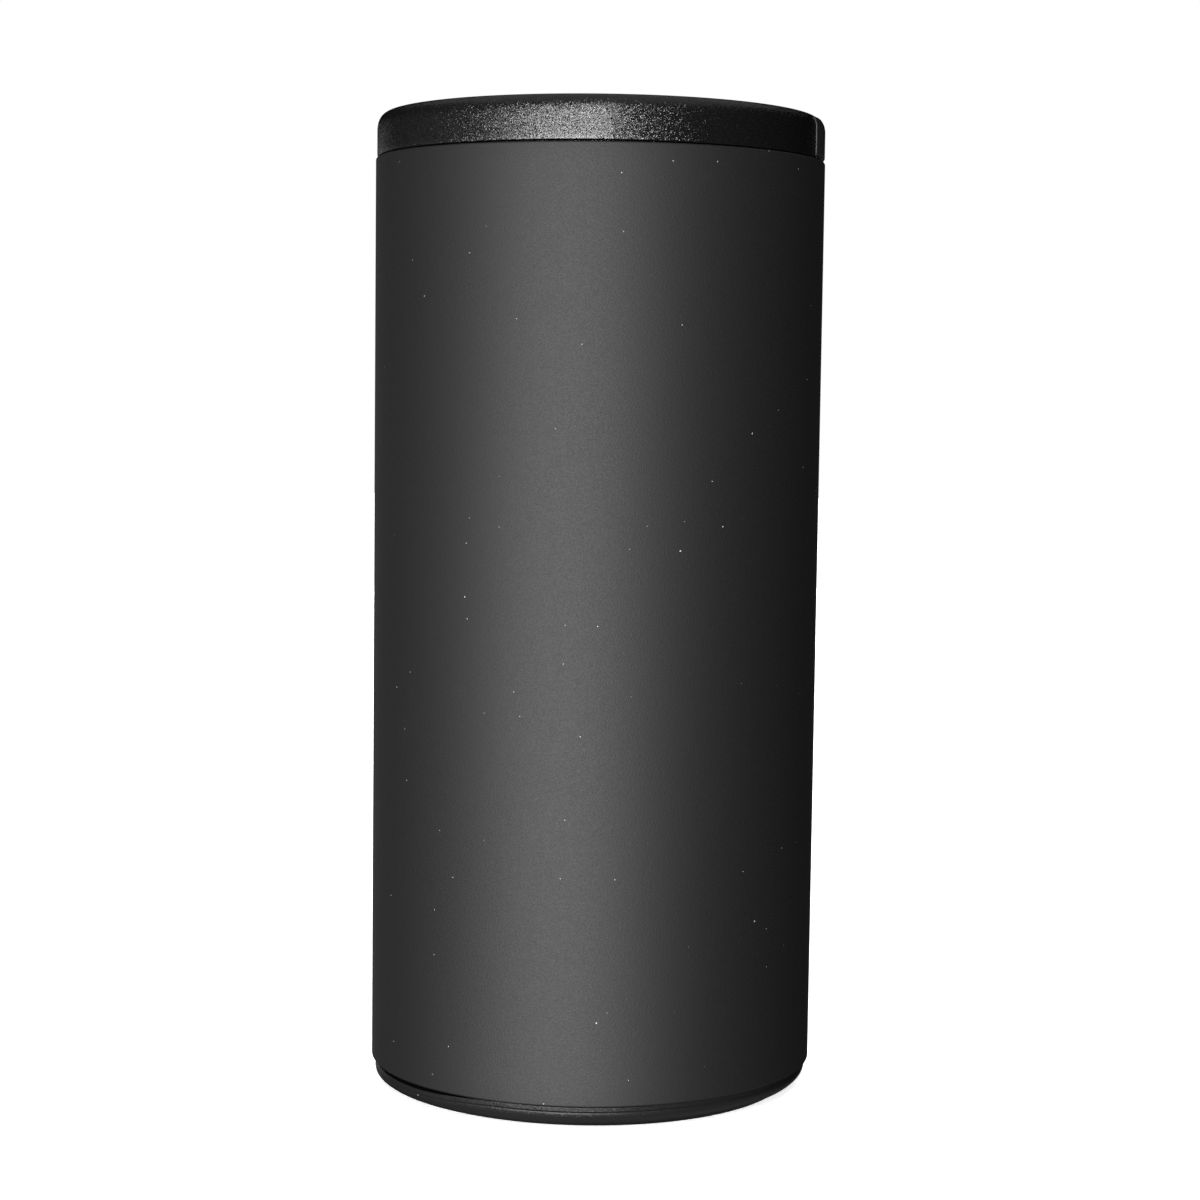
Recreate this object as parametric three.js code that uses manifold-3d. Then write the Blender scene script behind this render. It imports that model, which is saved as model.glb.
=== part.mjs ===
// Rock tumbler barrel: a rigid tube in a rubber drive sleeve, with a rubber liner, an end cap and a lid
// whose rubber plug is squeezed by a clamping knob. Millimetres, +Z up, origin at the centre of the base.
import * as THREE from "three";
import { mergeVertices } from "three/addons/utils/BufferGeometryUtils.js";
import Module from "manifold-3d";

const wasm = await Module();
wasm.setup();

// Driving dimensions.
const overallHeight = 221.5;
const sleeveRadius = 51;
const sleeveThickness = 2;
const tubeWall = 2.7;
const linerWall = 3.5;
const gap = 0.3; // between pieces that touch
const overlap = 1; // how far joined solids reach into each other, and cutters beyond a face
const cornerCut = 1; // on the inner corners of moulded pieces

// Base cap.
const baseRadius = 50.15;
const baseHeight = 5.2;
const baseEdgeRadial = 5.6;
const baseEdgeAxial = 4.4;
const footWidth = 7.8;
const baseRecess = 2.4;
const spigotHeight = 13.1;
const spigotWall = 2.5;
const baseRibCount = 8;
const baseRibWidth = 1.6;
const baseHubRadius = 9;

// Lid.
const lidHeight = 9.7;
const lidInset = 0.35; // lid rim inside the sleeve's face
const lidEdgeRadial = 2.45;
const lidEdgeAxial = 3.2;
const lidWall = 2.45;
const wellRadius = 35.8;
const wellDepth = 14.9;
const wellDraft = 1.3;
const wellFloor = 3;
const pressRingWall = 2.2;
const lidRibCount = 12;
const lidRibWidth = 1.4;
const lidRibDepth = 5;

// Grip pads let into the lid's rim, on opposite sides.
const padCentre = 80.2; // degrees round from the front, towards +X
const padWidth = 20; // degrees
const padThickness = 0.95;
const padProud = 0.25;
const padLow = 1; // above the lid's lower edge
const padTurn = 45; // degrees that a pad follows the rim's rounded edge

// Liner.
const linerFloor = 4;
const linerFillet = 10;
const lipThickness = 2.9;
const ribCount = 8;
const ribRadius = 5;
const ribTop = 186.6;

// Clamp: M8 bolt, plate, nuts and washers.
const boltRadius = 3.95;
const boltHole = 4.35;
const hexAcrossFlats = 13;
const hexHeadHeight = 5.3;
const lockNutHeight = 4;
const washerThickness = 1.6;
const headWasherRadius = 8.5;
const knobWasherRadius = 14.4;
const sealRadius = 5.6;
const sealSection = 1.1;
const plateRadius = 34;
const plateThickness = 2;

// Rubber plug.
const plugThickness = 9.8;
const plugCollar = 5.3;
const plugBeadCount = 3;
const plugBeadHeight = 0.7;

// Clamping knob.
const knobRadius = 19.5;
const knobTopBelowRim = 1.4;
const knobBodyHeight = 9;
const knobLobes = 6;
const knobLobeDepth = 3;
const knobBevel = 1.6;
const knobHubRadius = 13.6;
const knobNeckRadius = 8.1;
const knobLipRadius = 8.8;
const knobLipHeight = 0.5;
const knobRoof = 1.6;
const insertRadius = 6.2;
const insertLength = 10.2;

// How finely rounds are stepped.
const bigSides = 48;
const mediumSides = 32;
const smallSides = 20;
const fineArc = 2;
const plainArc = 1;
const stepsPerLobe = 8;

// Heights and radii that follow from the driving dimensions.
const tubeOuter = sleeveRadius - sleeveThickness - gap;
const tubeInner = tubeOuter - tubeWall;
const linerOuter = tubeInner - gap;
const linerInner = linerOuter - linerWall;
const spigotOuter = tubeInner - gap;
const spigotInner = spigotOuter - spigotWall;
const bodyLow = baseHeight + gap;
const lidLow = overallHeight - lidHeight;
const sleeveTop = lidLow - gap;
const lipTop = sleeveTop - gap;
const tubeTop = lipTop - lipThickness - gap;
const lidRadius = sleeveRadius - lidInset;
const lidRoundLow = overallHeight - lidEdgeAxial;
const wellFloorTop = overallHeight - wellDepth;
const wellFloorLow = wellFloorTop - wellFloor;
const wellOuter = wellRadius - wellDraft + wellFloor;
const plugTop = wellFloorLow - gap;
const plugLow = plugTop - plugThickness;
const plugRadius = linerInner - gap;
const plateTop = plugLow - gap;
const plateLow = plateTop - plateThickness;
const headWasherTop = plateLow - gap;
const headTop = headWasherTop - washerThickness - gap;
const knobTop = overallHeight - knobTopBelowRim;
const knobBodyLow = knobTop - knobBodyHeight;
const knobWasherLow = wellFloorTop + gap;
const knobShoulder = knobWasherLow + washerThickness + gap;
const boltTop = knobTop - knobRoof - 2 * gap;
const knobSeatDepth = knobLipHeight + gap;
const knobLipLow = wellFloorTop - knobLipHeight;
const insertLow = knobLipLow + gap;
const hexCorner = hexAcrossFlats / Math.sqrt(3);

const radians = THREE.MathUtils.degToRad;
const quarterTurn = Math.PI / 2;

// Materials.
const plastic = (colour, roughness) =>
  new THREE.MeshStandardMaterial({ color: colour, roughness, metalness: 0 });
const metal = (colour, roughness) =>
  new THREE.MeshStandardMaterial({ color: colour, roughness, metalness: 1 });
const sleeveRubber = plastic(0x3a3a3a, 0.85);
const linerRubber = plastic(0x2b2b2c, 0.9);
const lidPlastic = plastic(0x1d1d1e, 0.45);
const padPlastic = plastic(0x29292a, 0.4);
const basePlastic = plastic(0x202021, 0.35);
const tubePlastic = plastic(0x161617, 0.5);
const knobPlastic = plastic(0x18181a, 0.5);
const zincSteel = metal(0xb4b6b8, 0.35);
const brass = metal(0xc8a24c, 0.35);

// A solid of revolution about the Z axis, from a profile of radius and height.
function turned(profile, sides, arcSteps = plainArc) {
  const geometry = new THREE.LatheGeometry(profile.getPoints(arcSteps), sides);
  return geometry.rotateX(quarterTurn);
}

// Closed profile of a plain ring with square edges, and of one with its two outer edges rounded.
function ringProfile(inner, outer, low, high) {
  const profile = new THREE.Path();
  profile.moveTo(inner, low);
  profile.lineTo(outer, low);
  profile.lineTo(outer, high);
  profile.lineTo(inner, high);
  profile.lineTo(inner, low);
  return profile;
}

function roundedRingProfile(inner, outer, low, high, lowRound, highRound) {
  const profile = new THREE.Path();
  profile.moveTo(inner, low);
  profile.lineTo(outer - lowRound, low);
  profile.absarc(outer - lowRound, low + lowRound, lowRound, -quarterTurn, 0, false);
  profile.absarc(outer - highRound, high - highRound, highRound, 0, quarterTurn, false);
  profile.lineTo(inner, high);
  profile.lineTo(inner, low);
  return profile;
}

// A closed geometry as a solid that can be joined and cut.
function solidOf(geometry) {
  const positions = new THREE.BufferGeometry();
  const source = geometry.index ? geometry.toNonIndexed() : geometry;
  positions.setAttribute("position", source.getAttribute("position"));
  const merged = mergeVertices(positions, 1e-3);
  return new wasm.Manifold(
    new wasm.Mesh({
      numProp: 3,
      vertProperties: merged.attributes.position.array,
      triVerts: new Uint32Array(merged.index.array),
    }),
  );
}

// The solid's surface as a geometry again.
function geometryOf(solid) {
  const mesh = solid.getMesh();
  const geometry = new THREE.BufferGeometry();
  geometry.setAttribute("position", new THREE.BufferAttribute(mesh.vertProperties, 3));
  geometry.setIndex(new THREE.BufferAttribute(mesh.triVerts, 1));
  geometry.computeVertexNormals();
  return geometry;
}

function named(name, geometry, material) {
  const mesh = new THREE.Mesh(geometry, material);
  mesh.name = name;
  return mesh;
}

// An upright rod on the axis; one with six sides is a hexagonal bar.
function rod(radius, low, high, sides) {
  const geometry = new THREE.CylinderGeometry(radius, radius, high - low, sides);
  return geometry.rotateX(quarterTurn).translate(0, 0, (low + high) / 2);
}

// A flat bar that points out from the axis.
function spoke(width, inner, outer, low, high, angle) {
  const geometry = new THREE.BoxGeometry(outer - inner, width, high - low);
  geometry.translate((inner + outer) / 2, 0, (low + high) / 2);
  return geometry.rotateZ(angle);
}

// End cap: rounded disc with a foot ring, a spigot that plugs the tube, and a ribbed recess underneath.
function baseCap() {
  const footOuter = baseRadius - baseEdgeRadial;
  const footInner = footOuter - footWidth;
  const profile = new THREE.Path();
  profile.moveTo(0, baseRecess);
  profile.lineTo(footInner - cornerCut, baseRecess);
  profile.lineTo(footInner, 0);
  profile.absellipse(footOuter, baseEdgeAxial, baseEdgeRadial, baseEdgeAxial, -quarterTurn, 0, false);
  profile.lineTo(baseRadius, baseHeight);
  profile.lineTo(spigotOuter, baseHeight);
  profile.lineTo(spigotOuter, spigotHeight - cornerCut);
  profile.lineTo(spigotOuter - cornerCut, spigotHeight);
  profile.lineTo(spigotInner, spigotHeight);
  profile.lineTo(spigotInner, baseHeight);
  profile.lineTo(0, baseHeight);
  let solid = solidOf(turned(profile, bigSides, fineArc));
  const ribLow = baseRecess / 3;
  for (let i = 0; i < baseRibCount; i++) {
    const angle = ((i + 0.5) * 2 * Math.PI) / baseRibCount;
    const inner = baseHubRadius - overlap;
    solid = solid.add(solidOf(spoke(baseRibWidth, inner, footInner, ribLow, baseRecess + overlap, angle)));
  }
  const hub = ringProfile(baseHubRadius - baseRibWidth, baseHubRadius, ribLow, baseRecess + overlap);
  return solid.add(solidOf(turned(hub, smallSides)));
}

// Moulded rubber cup: stepped in over the cap's spigot, with a lip over the tube's mouth and lifter ribs.
function liner() {
  const lowerOuter = spigotInner - gap;
  const stepHeight = spigotHeight + gap;
  const floorTop = bodyLow + linerFloor;
  const lipRound = 1;
  const profile = new THREE.Path();
  profile.moveTo(0, bodyLow);
  profile.lineTo(lowerOuter - cornerCut, bodyLow);
  profile.lineTo(lowerOuter, bodyLow + cornerCut);
  profile.lineTo(lowerOuter, stepHeight);
  profile.lineTo(linerOuter, stepHeight);
  profile.lineTo(linerOuter, tubeTop + gap);
  profile.lineTo(tubeOuter, tubeTop + gap);
  profile.lineTo(tubeOuter, lipTop);
  profile.absarc(linerInner + lipRound, lipTop - lipRound, lipRound, quarterTurn, Math.PI, false);
  profile.lineTo(linerInner, floorTop + linerFillet);
  profile.absarc(linerInner - linerFillet, floorTop + linerFillet, linerFillet, 0, -quarterTurn, true);
  profile.lineTo(0, floorTop);
  let solid = solidOf(turned(profile, bigSides));
  const section = new THREE.Shape();
  const back = (linerInner + lowerOuter) / 2;
  section.moveTo(back, -ribRadius);
  section.lineTo(back, ribRadius);
  section.absarc(linerInner, 0, ribRadius, quarterTurn, 3 * quarterTurn, false);
  const ribLow = bodyLow + linerFloor / 2;
  const ribShape = { depth: ribTop - ribLow, bevelEnabled: false, curveSegments: 8 };
  for (let i = 0; i < ribCount; i++) {
    const rib = new THREE.ExtrudeGeometry(section, ribShape);
    rib.translate(0, 0, ribLow);
    rib.rotateZ(((i + 0.5) * 2 * Math.PI) / ribCount);
    solid = solid.add(solidOf(rib));
  }
  return solid;
}

// Closed profile of a band that lies on the lid's rim: from depth below its face to proud above it.
function rimBand(depth, proud, low, turn) {
  const centre = lidRadius - lidEdgeRadial;
  const profile = new THREE.Path();
  profile.moveTo(lidRadius - depth, low);
  profile.lineTo(lidRadius + proud, low);
  const outerRadial = lidEdgeRadial + proud;
  profile.absellipse(centre, lidRoundLow, outerRadial, lidEdgeAxial + proud, 0, turn, false);
  const innerRadial = lidEdgeRadial - depth;
  profile.absellipse(centre, lidRoundLow, innerRadial, lidEdgeAxial - depth, turn, 0, true);
  profile.lineTo(lidRadius - depth, low);
  return profile;
}

// The part of a turned band that lies within half an angle of its middle, in degrees round from the front.
function bandSector(profile, middle, halfAngle) {
  const reach = 2 * sleeveRadius;
  const wedge = new THREE.Shape();
  wedge.moveTo(0, 0);
  wedge.lineTo(reach * Math.cos(halfAngle), -reach * Math.sin(halfAngle));
  wedge.lineTo(reach * Math.cos(halfAngle), reach * Math.sin(halfAngle));
  const prism = new THREE.ExtrudeGeometry(wedge, { depth: overallHeight, bevelEnabled: false });
  prism.translate(0, 0, lidLow - overallHeight / 2);
  prism.rotateZ(radians(middle) - quarterTurn);
  return solidOf(turned(profile, bigSides, fineArc)).intersect(solidOf(prism));
}

function gripPad(middle) {
  const band = rimBand(padThickness - padProud, padProud, lidLow + padLow, radians(padTurn));
  return bandSector(band, middle, radians(padWidth / 2));
}

function padRecess(middle) {
  const depth = padThickness - padProud + gap;
  const room = gap / lidRadius;
  const turnRoom = gap / lidEdgeRadial;
  const band = rimBand(depth, overlap, lidLow + padLow - gap, radians(padTurn) + turnRoom);
  return bandSector(band, middle, radians(padWidth / 2) + room);
}

// Lid: rounded rim round a well for the knob, hollow underneath, with a ring that presses on the liner.
function lid() {
  const roofLow = overallHeight - lidWall;
  const skirtInner = lidRadius - lidWall;
  const pressMiddle = (linerInner + tubeOuter) / 2;
  const pressInner = pressMiddle - pressRingWall / 2;
  const pressOuter = pressMiddle + pressRingWall / 2;
  const lowerRound = 0.5;
  const wellRound = 0.8;
  const seatRadius = knobLipRadius + 2 * gap;
  const profile = new THREE.Path();
  profile.moveTo(boltHole, wellFloorLow);
  profile.lineTo(wellOuter - cornerCut, wellFloorLow);
  profile.lineTo(wellOuter, wellFloorLow + cornerCut);
  profile.lineTo(wellOuter, roofLow);
  profile.lineTo(pressInner, roofLow);
  profile.lineTo(pressInner, lipTop + gap);
  profile.lineTo(pressOuter, lipTop + gap);
  profile.lineTo(pressOuter, roofLow);
  profile.lineTo(skirtInner, roofLow);
  profile.lineTo(skirtInner, lidLow);
  profile.absarc(lidRadius - lowerRound, lidLow + lowerRound, lowerRound, -quarterTurn, 0, false);
  const roundCentre = lidRadius - lidEdgeRadial;
  profile.absellipse(roundCentre, lidRoundLow, lidEdgeRadial, lidEdgeAxial, 0, quarterTurn, false);
  profile.absarc(wellRadius + wellRound, overallHeight - wellRound, wellRound, quarterTurn, Math.PI, false);
  profile.lineTo(wellRadius - wellDraft, wellFloorTop + cornerCut);
  profile.lineTo(wellRadius - wellDraft - cornerCut, wellFloorTop);
  profile.lineTo(seatRadius, wellFloorTop);
  profile.lineTo(seatRadius, wellFloorTop - knobSeatDepth);
  profile.lineTo(boltHole, wellFloorTop - knobSeatDepth);
  profile.lineTo(boltHole, wellFloorLow);
  let solid = solidOf(turned(profile, bigSides, fineArc));
  for (let i = 0; i < lidRibCount; i++) {
    const angle = ((i + 0.5) * 2 * Math.PI) / lidRibCount;
    const inner = wellOuter - overlap;
    const outer = skirtInner + overlap;
    const low = roofLow - lidRibDepth;
    solid = solid.add(solidOf(spoke(lidRibWidth, inner, outer, low, roofLow + overlap, angle)));
  }
  return solid.subtract(padRecess(padCentre)).subtract(padRecess(padCentre + 180));
}

// Rubber plug: a beaded disc with a collar round the lid's well, pockets for the nut and the O-ring.
function sealPlug() {
  const nutPocket = hexCorner + 2 * gap;
  const nutPocketTop = plugLow + lockNutHeight + gap;
  const ringPocket = sealRadius + sealSection + gap;
  const ringPocketLow = plugTop - 2 * sealSection - 2 * gap;
  const bodyRadius = plugRadius - plugBeadHeight;
  const collarTop = plugTop + plugCollar;
  const beadSpacing = (collarTop - plugLow) / plugBeadCount;
  const beadHalf = 1.3;
  const profile = new THREE.Path();
  profile.moveTo(boltHole, nutPocketTop);
  profile.lineTo(nutPocket, nutPocketTop);
  profile.lineTo(nutPocket, plugLow);
  profile.lineTo(bodyRadius - cornerCut, plugLow);
  profile.lineTo(bodyRadius, plugLow + cornerCut);
  for (let i = 0; i < plugBeadCount; i++) {
    const height = plugLow + (i + 0.5) * beadSpacing;
    profile.absellipse(bodyRadius, height, plugBeadHeight, beadHalf, -quarterTurn, quarterTurn, false);
  }
  profile.lineTo(bodyRadius, collarTop);
  profile.lineTo(wellOuter + gap, collarTop);
  profile.lineTo(wellOuter + gap, plugTop);
  profile.lineTo(ringPocket, plugTop);
  profile.lineTo(ringPocket, ringPocketLow);
  profile.lineTo(boltHole, ringPocketLow);
  profile.lineTo(boltHole, nutPocketTop);
  return turned(profile, bigSides);
}

function boltSeal() {
  const seal = new THREE.TorusGeometry(sealRadius, sealSection, 8, mediumSides);
  return seal.translate(0, 0, plugTop - sealSection - gap);
}

function clampBolt() {
  const chamfer = 0.7;
  const profile = new THREE.Path();
  profile.moveTo(0, headTop - overlap);
  profile.lineTo(boltRadius, headTop - overlap);
  profile.lineTo(boltRadius, boltTop - chamfer);
  profile.lineTo(boltRadius - chamfer, boltTop);
  profile.lineTo(0, boltTop);
  const head = rod(hexCorner, headTop - hexHeadHeight, headTop, 6);
  return solidOf(turned(profile, smallSides)).add(solidOf(head));
}

function lockNut() {
  const body = rod(hexCorner, plugLow, plugLow + lockNutHeight, 6);
  const hole = rod(boltHole, plugLow - overlap, plugLow + lockNutHeight + overlap, smallSides);
  return solidOf(body).subtract(solidOf(hole));
}

// The knob's outline: lobes that swell and sink round a circle.
function lobedOutline() {
  const steps = stepsPerLobe * knobLobes;
  const outline = [];
  for (let i = 0; i < steps; i++) {
    const angle = (i * 2 * Math.PI) / steps;
    const sink = (knobLobeDepth * (1 - Math.cos(knobLobes * angle))) / 2;
    const radius = knobRadius - knobBevel - sink;
    outline.push(new THREE.Vector2(radius * Math.cos(angle), radius * Math.sin(angle)));
  }
  return new THREE.Shape(outline);
}

// Knob: lobed body, a hub on the washer, and a neck through it whose lip keeps the washer on.
function knob() {
  const body = new THREE.ExtrudeGeometry(lobedOutline(), {
    depth: knobBodyHeight - 2 * knobBevel,
    bevelEnabled: true,
    bevelThickness: knobBevel,
    bevelSize: knobBevel,
    bevelSegments: 2,
  });
  body.translate(0, 0, knobBodyLow + knobBevel);
  const hub = new THREE.Path();
  hub.moveTo(0, knobLipLow);
  hub.lineTo(knobLipRadius, knobLipLow);
  hub.lineTo(knobLipRadius, knobLipLow + knobLipHeight);
  hub.lineTo(knobNeckRadius, knobLipLow + knobLipHeight);
  hub.lineTo(knobNeckRadius, knobShoulder);
  hub.lineTo(knobHubRadius, knobShoulder);
  hub.lineTo(knobHubRadius, knobBodyLow + knobBevel);
  hub.lineTo(0, knobBodyLow + knobBevel);
  const boreLow = knobLipLow - overlap;
  const insertBore = rod(insertRadius + gap, boreLow, insertLow + insertLength + gap, smallSides);
  const boltBore = rod(boltHole, boreLow, knobTop - knobRoof, smallSides);
  return solidOf(body)
    .add(solidOf(turned(hub, mediumSides)))
    .subtract(solidOf(insertBore))
    .subtract(solidOf(boltBore));
}

// The whole barrel.
const barrel = new THREE.Group();

const sleeveProfile = roundedRingProfile(tubeOuter + gap, sleeveRadius, bodyLow, sleeveTop, 1.7, 1.2);
barrel.add(named("drive_sleeve", turned(sleeveProfile, bigSides), sleeveRubber));
const tubeProfile = ringProfile(tubeInner, tubeOuter, bodyLow, tubeTop);
barrel.add(named("shell_tube", turned(tubeProfile, bigSides), tubePlastic));
barrel.add(named("base_cap", geometryOf(baseCap()), basePlastic));
barrel.add(named("liner", geometryOf(liner()), linerRubber));

barrel.add(named("lid", geometryOf(lid()), lidPlastic));
barrel.add(named("grip_pad_right", geometryOf(gripPad(padCentre)), padPlastic));
barrel.add(named("grip_pad_left", geometryOf(gripPad(padCentre + 180)), padPlastic));
barrel.add(named("seal_plug", sealPlug(), linerRubber));
const plateProfile = ringProfile(boltHole, plateRadius, plateLow, plateTop);
barrel.add(named("clamp_plate", turned(plateProfile, mediumSides), zincSteel));
barrel.add(named("clamp_bolt", geometryOf(clampBolt()), zincSteel));
const headWasherLow = headWasherTop - washerThickness;
const headWasherProfile = ringProfile(boltHole, headWasherRadius, headWasherLow, headWasherTop);
barrel.add(named("head_washer", turned(headWasherProfile, mediumSides), linerRubber));
barrel.add(named("lock_nut", geometryOf(lockNut()), zincSteel));
barrel.add(named("bolt_seal", boltSeal(), linerRubber));

const knobWasherTop = knobWasherLow + washerThickness;
const knobWasherProfile = ringProfile(knobNeckRadius + gap, knobWasherRadius, knobWasherLow, knobWasherTop);
barrel.add(named("knob_washer", turned(knobWasherProfile, mediumSides), zincSteel));
barrel.add(named("knob", geometryOf(knob()), knobPlastic));
const insertProfile = ringProfile(boltHole, insertRadius, insertLow, insertLow + insertLength);
barrel.add(named("knob_insert", turned(insertProfile, smallSides), brass));

export default barrel;
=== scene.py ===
import math

import bpy
import numpy as np
from mathutils import Matrix, Vector


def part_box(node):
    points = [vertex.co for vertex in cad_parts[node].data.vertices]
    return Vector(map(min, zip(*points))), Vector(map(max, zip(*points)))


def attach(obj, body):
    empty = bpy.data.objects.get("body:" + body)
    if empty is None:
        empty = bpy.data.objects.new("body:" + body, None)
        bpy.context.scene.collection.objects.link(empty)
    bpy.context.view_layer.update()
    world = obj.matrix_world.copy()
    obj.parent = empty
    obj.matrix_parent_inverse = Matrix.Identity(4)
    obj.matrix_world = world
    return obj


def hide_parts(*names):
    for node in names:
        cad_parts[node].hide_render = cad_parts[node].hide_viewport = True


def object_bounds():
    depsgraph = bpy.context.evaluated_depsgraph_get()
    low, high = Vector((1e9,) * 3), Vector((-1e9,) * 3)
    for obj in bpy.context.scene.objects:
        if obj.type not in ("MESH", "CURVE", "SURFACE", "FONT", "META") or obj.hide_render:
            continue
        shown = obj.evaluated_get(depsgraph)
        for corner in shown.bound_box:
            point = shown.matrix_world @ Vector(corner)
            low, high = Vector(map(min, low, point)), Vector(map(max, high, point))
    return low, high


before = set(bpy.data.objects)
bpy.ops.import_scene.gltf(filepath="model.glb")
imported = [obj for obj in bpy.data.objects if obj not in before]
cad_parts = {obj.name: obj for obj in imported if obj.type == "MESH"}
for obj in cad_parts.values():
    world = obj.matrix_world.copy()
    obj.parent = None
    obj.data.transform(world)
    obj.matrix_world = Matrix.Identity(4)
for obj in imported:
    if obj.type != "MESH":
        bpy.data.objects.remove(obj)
cad_low, cad_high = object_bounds()

# Sizes that the frame gives, and those that follow from them or that several pieces share, in metres.
MM = 0.001
GAP = 0.3 * MM
SLEEVE_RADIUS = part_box("drive_sleeve")[1].x
SLEEVE_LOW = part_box("drive_sleeve")[0].z
SLEEVE_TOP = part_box("drive_sleeve")[1].z
TUBE_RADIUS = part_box("shell_tube")[1].x
TUBE_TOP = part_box("shell_tube")[1].z
BASE_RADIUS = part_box("base_cap")[1].x
BASE_TOP = SLEEVE_LOW - GAP
SPIGOT_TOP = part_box("base_cap")[1].z
LIP_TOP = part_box("liner")[1].z
LID_RADIUS = SLEEVE_RADIUS - 0.35 * MM
LID_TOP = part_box("lid")[1].z
LID_EDGE_RADIAL = 2.45 * MM
LID_EDGE_AXIAL = 3.2 * MM
LID_EDGE_CENTRE = (LID_RADIUS - LID_EDGE_RADIAL, LID_TOP - LID_EDGE_AXIAL)
LID_LOW = SLEEVE_TOP + GAP
WELL_OUTER = 37.5 * MM
WELL_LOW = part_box("lid")[0].z
WELL_FLOOR = WELL_LOW + 3 * MM
PLUG_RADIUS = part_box("seal_plug")[1].x
PLUG_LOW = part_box("seal_plug")[0].z
PLUG_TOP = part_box("seal_plug")[1].z
LINER_RADIUS = PLUG_RADIUS + GAP
BOLT_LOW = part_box("clamp_bolt")[0].z
BOLT_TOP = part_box("clamp_bolt")[1].z
HEAD_ACROSS_FLATS = 2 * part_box("clamp_bolt")[1].x
KNOB_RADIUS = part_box("knob")[1].x
KNOB_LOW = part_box("knob")[0].z
KNOB_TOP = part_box("knob")[1].z
KNOB_NECK = 8.1 * MM
NECK_HOLE = KNOB_NECK + GAP
BOLT_RADIUS = 3.95 * MM
BOLT_HOLE = 4.35 * MM
THREAD_PITCH = 1.25 * MM

# Where the grip pads lie, in degrees round from the front towards +X.
PAD_MIDDLES = {"grip_pad_right": 80.2, "grip_pad_left": 260.2}
PAD_HALF = math.radians(10)
PAD_PROUD = 0.25 * MM
PAD_DEPTH = 0.7 * MM

# How far a pad's recess goes past the pad at each side, and how wide the recess's sloping wall is.
PAD_MARGIN = 0.1 * MM
PAD_WALL = 0.05 * MM

FULL_TURN = 2 * math.pi

# Places closer together than this count as one.
TINY = 1e-7

# How many points go round a piece: FINE for the large ones, PLAIN for small rings.
FINE = 384
PLAIN = 192


def around(count):
    """Evenly spaced angles round the axis."""
    return np.linspace(0, FULL_TURN, count, endpoint=False)


def apart(angle, middle):
    """How far angles are from a middle, either way round."""
    return np.abs((angle - middle + math.pi) % FULL_TURN - math.pi)


def spot(radius, angle, height):
    """The point at a radius, at an angle from the front towards +X, and at a height."""
    return (radius * math.sin(angle), -radius * math.cos(angle), height)


def rounded(corners, closed, steps=6):
    """An outline's points (radius, height) from its corners (radius, height, round)."""
    count = len(corners)
    points = []
    for i, (radius, height, turn) in enumerate(corners):
        corner = np.array((radius, height), float)
        if turn == 0 or (not closed and i in (0, count - 1)):
            points.append(corner)
            continue
        before = np.array(corners[i - 1][:2], float) - corner
        after = np.array(corners[(i + 1) % count][:2], float) - corner
        before /= np.linalg.norm(before)
        after /= np.linalg.norm(after)
        half = math.acos(np.clip(before @ after, -1, 1)) / 2
        middle = before + after
        centre = corner + middle / np.linalg.norm(middle) * turn / math.sin(half)
        first = corner + before * turn / math.tan(half) - centre
        last = corner + after * turn / math.tan(half) - centre
        swing = math.pi - 2 * half
        for share in np.linspace(0, 1, steps + 1):
            mixed = first * math.sin((1 - share) * swing) + last * math.sin(share * swing)
            points.append(centre + mixed / math.sin(swing))
    return points


def ellipse_arc(centre, radial, axial, start, end, steps):
    """Points of part of an ellipse, from angle start to end in degrees."""
    angles = np.radians(np.linspace(start, end, steps + 1))
    return [np.array((centre[0] + radial * math.cos(t), centre[1] + axial * math.sin(t))) for t in angles]


def divided(points, longest, closed=False):
    """The same outline with its long straight stretches cut into equal steps."""
    made = []
    ends = points[1:] + points[:1] if closed else points[1:]
    for start, end in zip(points, ends):
        parts = max(1, math.ceil(np.linalg.norm(end - start) / longest))
        made += [start + (end - start) * k / parts for k in range(parts)]
    return made if closed else made + [points[-1]]


def mesh_object(name, vertices, faces, sharp=35):
    """A smooth-shaded object, with edges of more than sharp degrees left crisp."""
    mesh = bpy.data.meshes.new(name)
    mesh.from_pydata(vertices, [], faces)
    mesh.update()
    mesh.shade_smooth()
    mesh.set_sharp_from_angle(angle=math.radians(sharp))
    made = bpy.data.objects.new(name, mesh)
    bpy.context.scene.collection.objects.link(made)
    return made


def turned(name, outline, angles, closed, shape=None, sharp=35):
    """A surface of revolution. shape(radius, height, angle) may move its points."""
    count = len(angles)
    points = np.array(outline)
    radius, angle = np.meshgrid(points[:, 0], angles)
    height = np.meshgrid(points[:, 1], angles)[0]
    on_axis = points[:, 0] < TINY
    if shape is not None:
        radius, height = shape(radius, height, angle)
    x = radius * np.sin(angle)
    y = -radius * np.cos(angle)
    vertices = []
    index = []
    for p in range(len(points)):
        first = len(vertices)
        if on_axis[p]:
            vertices.append((0, 0, height[0, p]))
            index.append([first] * count)
        else:
            vertices += list(zip(x[:, p], y[:, p], height[:, p]))
            index.append(list(range(first, first + count)))
    faces = []
    for p in range(len(points) if closed else len(points) - 1):
        low, high = index[p], index[(p + 1) % len(points)]
        for a in range(count):
            b = (a + 1) % count
            corners = [low[a], low[b], high[b], high[a]]
            faces.append([v for k, v in enumerate(corners) if v not in corners[:k]])
    return mesh_object(name, vertices, [f for f in faces if len(f) > 2], sharp)


def place(piece, body, material, slot, *nodes):
    """Gives a piece its material and its body, and hides the CAD nodes that it stands for."""
    piece.data.materials.append(material)
    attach(piece, body)
    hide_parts(*nodes)


# ---------------------------------------------------------------------------------------------------------
# Materials


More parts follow.
